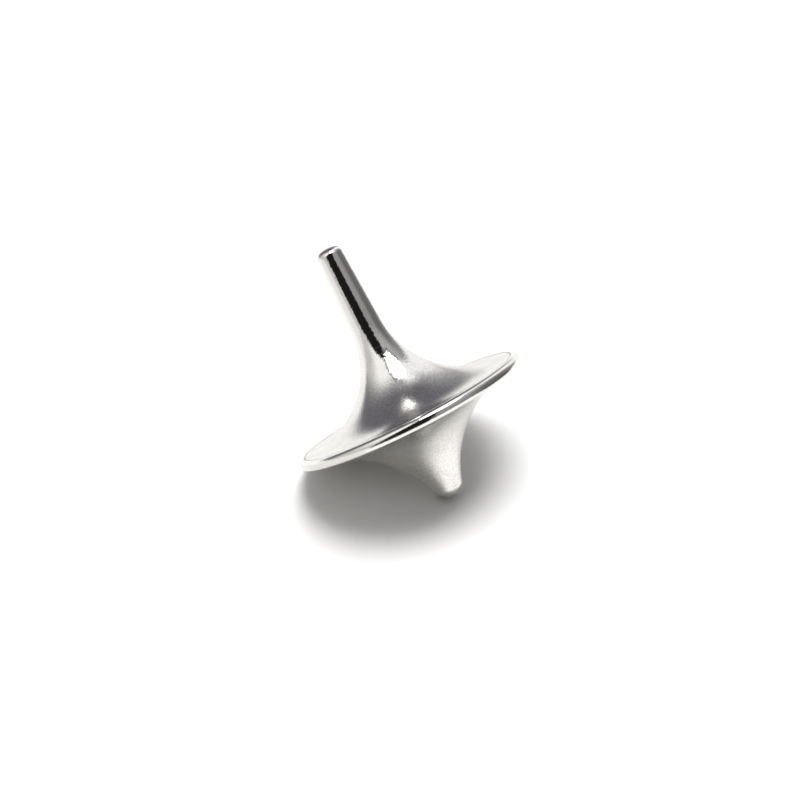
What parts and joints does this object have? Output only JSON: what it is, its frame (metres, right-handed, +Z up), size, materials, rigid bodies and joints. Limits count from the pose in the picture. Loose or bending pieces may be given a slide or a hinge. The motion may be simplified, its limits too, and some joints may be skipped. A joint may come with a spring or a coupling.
{
  "type": "spinning top",
  "caption": "Hand-spun metal top with a slim finger stem, concave upper and lower flares, a rounded rim bead and a ball tip; it lies at rest on tip and rim.",
  "frame": {"origin": "where the tip ball touches the floor, with the top lying at rest on its tip and rim", "axes": "+Z up from the floor, the stem leaning towards -X, Y across the rim"},
  "size_m": [0.0285, 0.032, 0.0295],
  "materials": {
    "polished_metal": "polished",
    "satin_metal": "satin",
    "hard_steel": "polished"
  },
  "bodies": {
    "tip": {"tip_ball": "hard_steel"},
    "top": {"finger_stem": "polished_metal", "upper_body": "satin_metal", "rim_ring": "polished_metal", "lower_body": "satin_metal"}
  },
  "joints": [
    {"name": "spin", "type": "hinge", "parent": "tip", "child": "top", "pos_m": [0, 0, 0.002], "axis": [-0.6284, 0, 0.7779], "continuous": true}
  ]
}
